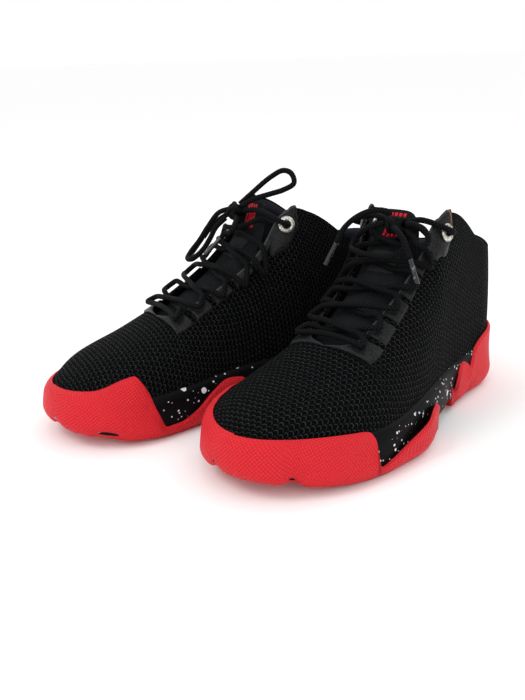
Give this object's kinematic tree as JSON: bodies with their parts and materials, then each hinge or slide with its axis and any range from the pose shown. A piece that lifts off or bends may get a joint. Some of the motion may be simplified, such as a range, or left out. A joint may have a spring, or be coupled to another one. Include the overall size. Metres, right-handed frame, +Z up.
{
  "type": "basketball shoes",
  "caption": "Pair of laced basketball shoes with raised eyelet ears, a knitted upper, a padded collar, a tied bow and a cupped rubber sole.",
  "frame": {"origin": "centre of the pair's plan outline, on the floor that the soles stand on", "axes": "+Z up, -Y towards the toes of the left shoe, +X to the left shoe's lateral side; the right shoe is turned toe-out"},
  "size_m": [0.273, 0.3182, 0.1746],
  "materials": {
    "red_rubber": "moulded, fine diamond texture",
    "black_foam": "moulded foam with speckled paint",
    "knit": "engineered knit",
    "lining_mesh": "brushed mesh",
    "tongue_mesh": "fine mesh",
    "padding_foam": "open foam",
    "sockliner_foam": "fabric covered foam",
    "board": "stitched board",
    "shell_plastic": "moulded",
    "binding": "glossy rolled edge",
    "eyestay_coat": "smooth coated",
    "keeper_webbing": "woven",
    "lace_cord": "braided",
    "silver_metal": "worn satin",
    "clear_plastic": "clear, smooth"
  },
  "bodies": {
    "root": {"left_outsole_forefoot": "red_rubber", "left_outsole_heel": "red_rubber", "left_midsole": "black_foam", "left_shank_plate": "shell_plastic", "left_heel_air_unit": "clear_plastic", "left_strobel_board": "board", "left_upper": "knit", "left_toe_stiffener": "shell_plastic", "left_heel_counter": "shell_plastic", "left_collar_padding": "padding_foam", "left_lining": "lining_mesh", "left_collar_binding": "binding", "left_tongue": "tongue_mesh", "left_lace_keeper": "keeper_webbing", "left_eyestay_lateral": "eyestay_coat", "left_eyestay_medial": "eyestay_coat", "left_grommet_lateral": "silver_metal", "left_grommet_medial": "silver_metal", "left_lace": "lace_cord", "left_bow_knot": "lace_cord", "left_bow_loop_medial": "lace_cord", "left_bow_loop_lateral": "lace_cord", "left_lace_end_medial": "lace_cord", "left_lace_end_lateral": "lace_cord", "left_aglet_medial": "clear_plastic", "left_aglet_lateral": "clear_plastic", "right_outsole_forefoot": "red_rubber", "right_outsole_heel": "red_rubber", "right_midsole": "black_foam", "right_shank_plate": "shell_plastic", "right_heel_air_unit": "clear_plastic", "right_strobel_board": "board", "right_upper": "knit", "right_toe_stiffener": "shell_plastic", "right_heel_counter": "shell_plastic", "right_collar_padding": "padding_foam", "right_lining": "lining_mesh", "right_collar_binding": "binding", "right_tongue": "tongue_mesh", "right_lace_keeper": "keeper_webbing", "right_eyestay_lateral": "eyestay_coat", "right_eyestay_medial": "eyestay_coat", "right_grommet_lateral": "silver_metal", "right_grommet_medial": "silver_metal", "right_lace": "lace_cord", "right_bow_knot": "lace_cord", "right_bow_loop_medial": "lace_cord", "right_bow_loop_lateral": "lace_cord", "right_lace_end_medial": "lace_cord", "right_lace_end_lateral": "lace_cord", "right_aglet_medial": "clear_plastic", "right_aglet_lateral": "clear_plastic"},
    "left_sockliner": {"left_sockliner": "sockliner_foam"},
    "left_tongue_top": {"left_tongue_top": "tongue_mesh"},
    "right_sockliner": {"right_sockliner": "sockliner_foam"},
    "right_tongue_top": {"right_tongue_top": "tongue_mesh"}
  },
  "joints": [
    {"name": "left_sockliner_lift", "type": "hinge", "parent": "root", "child": "left_sockliner", "pos_m": [0.06881, -0.12488, 0.0245], "axis": [1, 0, 0], "range_deg": [0, 12]},
    {"name": "left_tongue_top_flex", "type": "hinge", "parent": "root", "child": "left_tongue_top", "pos_m": [0.07481, 0.03212, 0.11], "axis": [-1, 0, 0], "range_deg": [0, 20]},
    {"name": "right_sockliner_lift", "type": "hinge", "parent": "root", "child": "right_sockliner", "pos_m": [-0.09413, -0.1372, 0.0245], "axis": [0.9336, -0.3584, 0], "range_deg": [0, 12]},
    {"name": "right_tongue_top_flex", "type": "hinge", "parent": "root", "child": "right_tongue_top", "pos_m": [-0.04347, 0.01152, 0.11], "axis": [-0.9336, 0.3584, 0], "range_deg": [0, 20]}
  ]
}
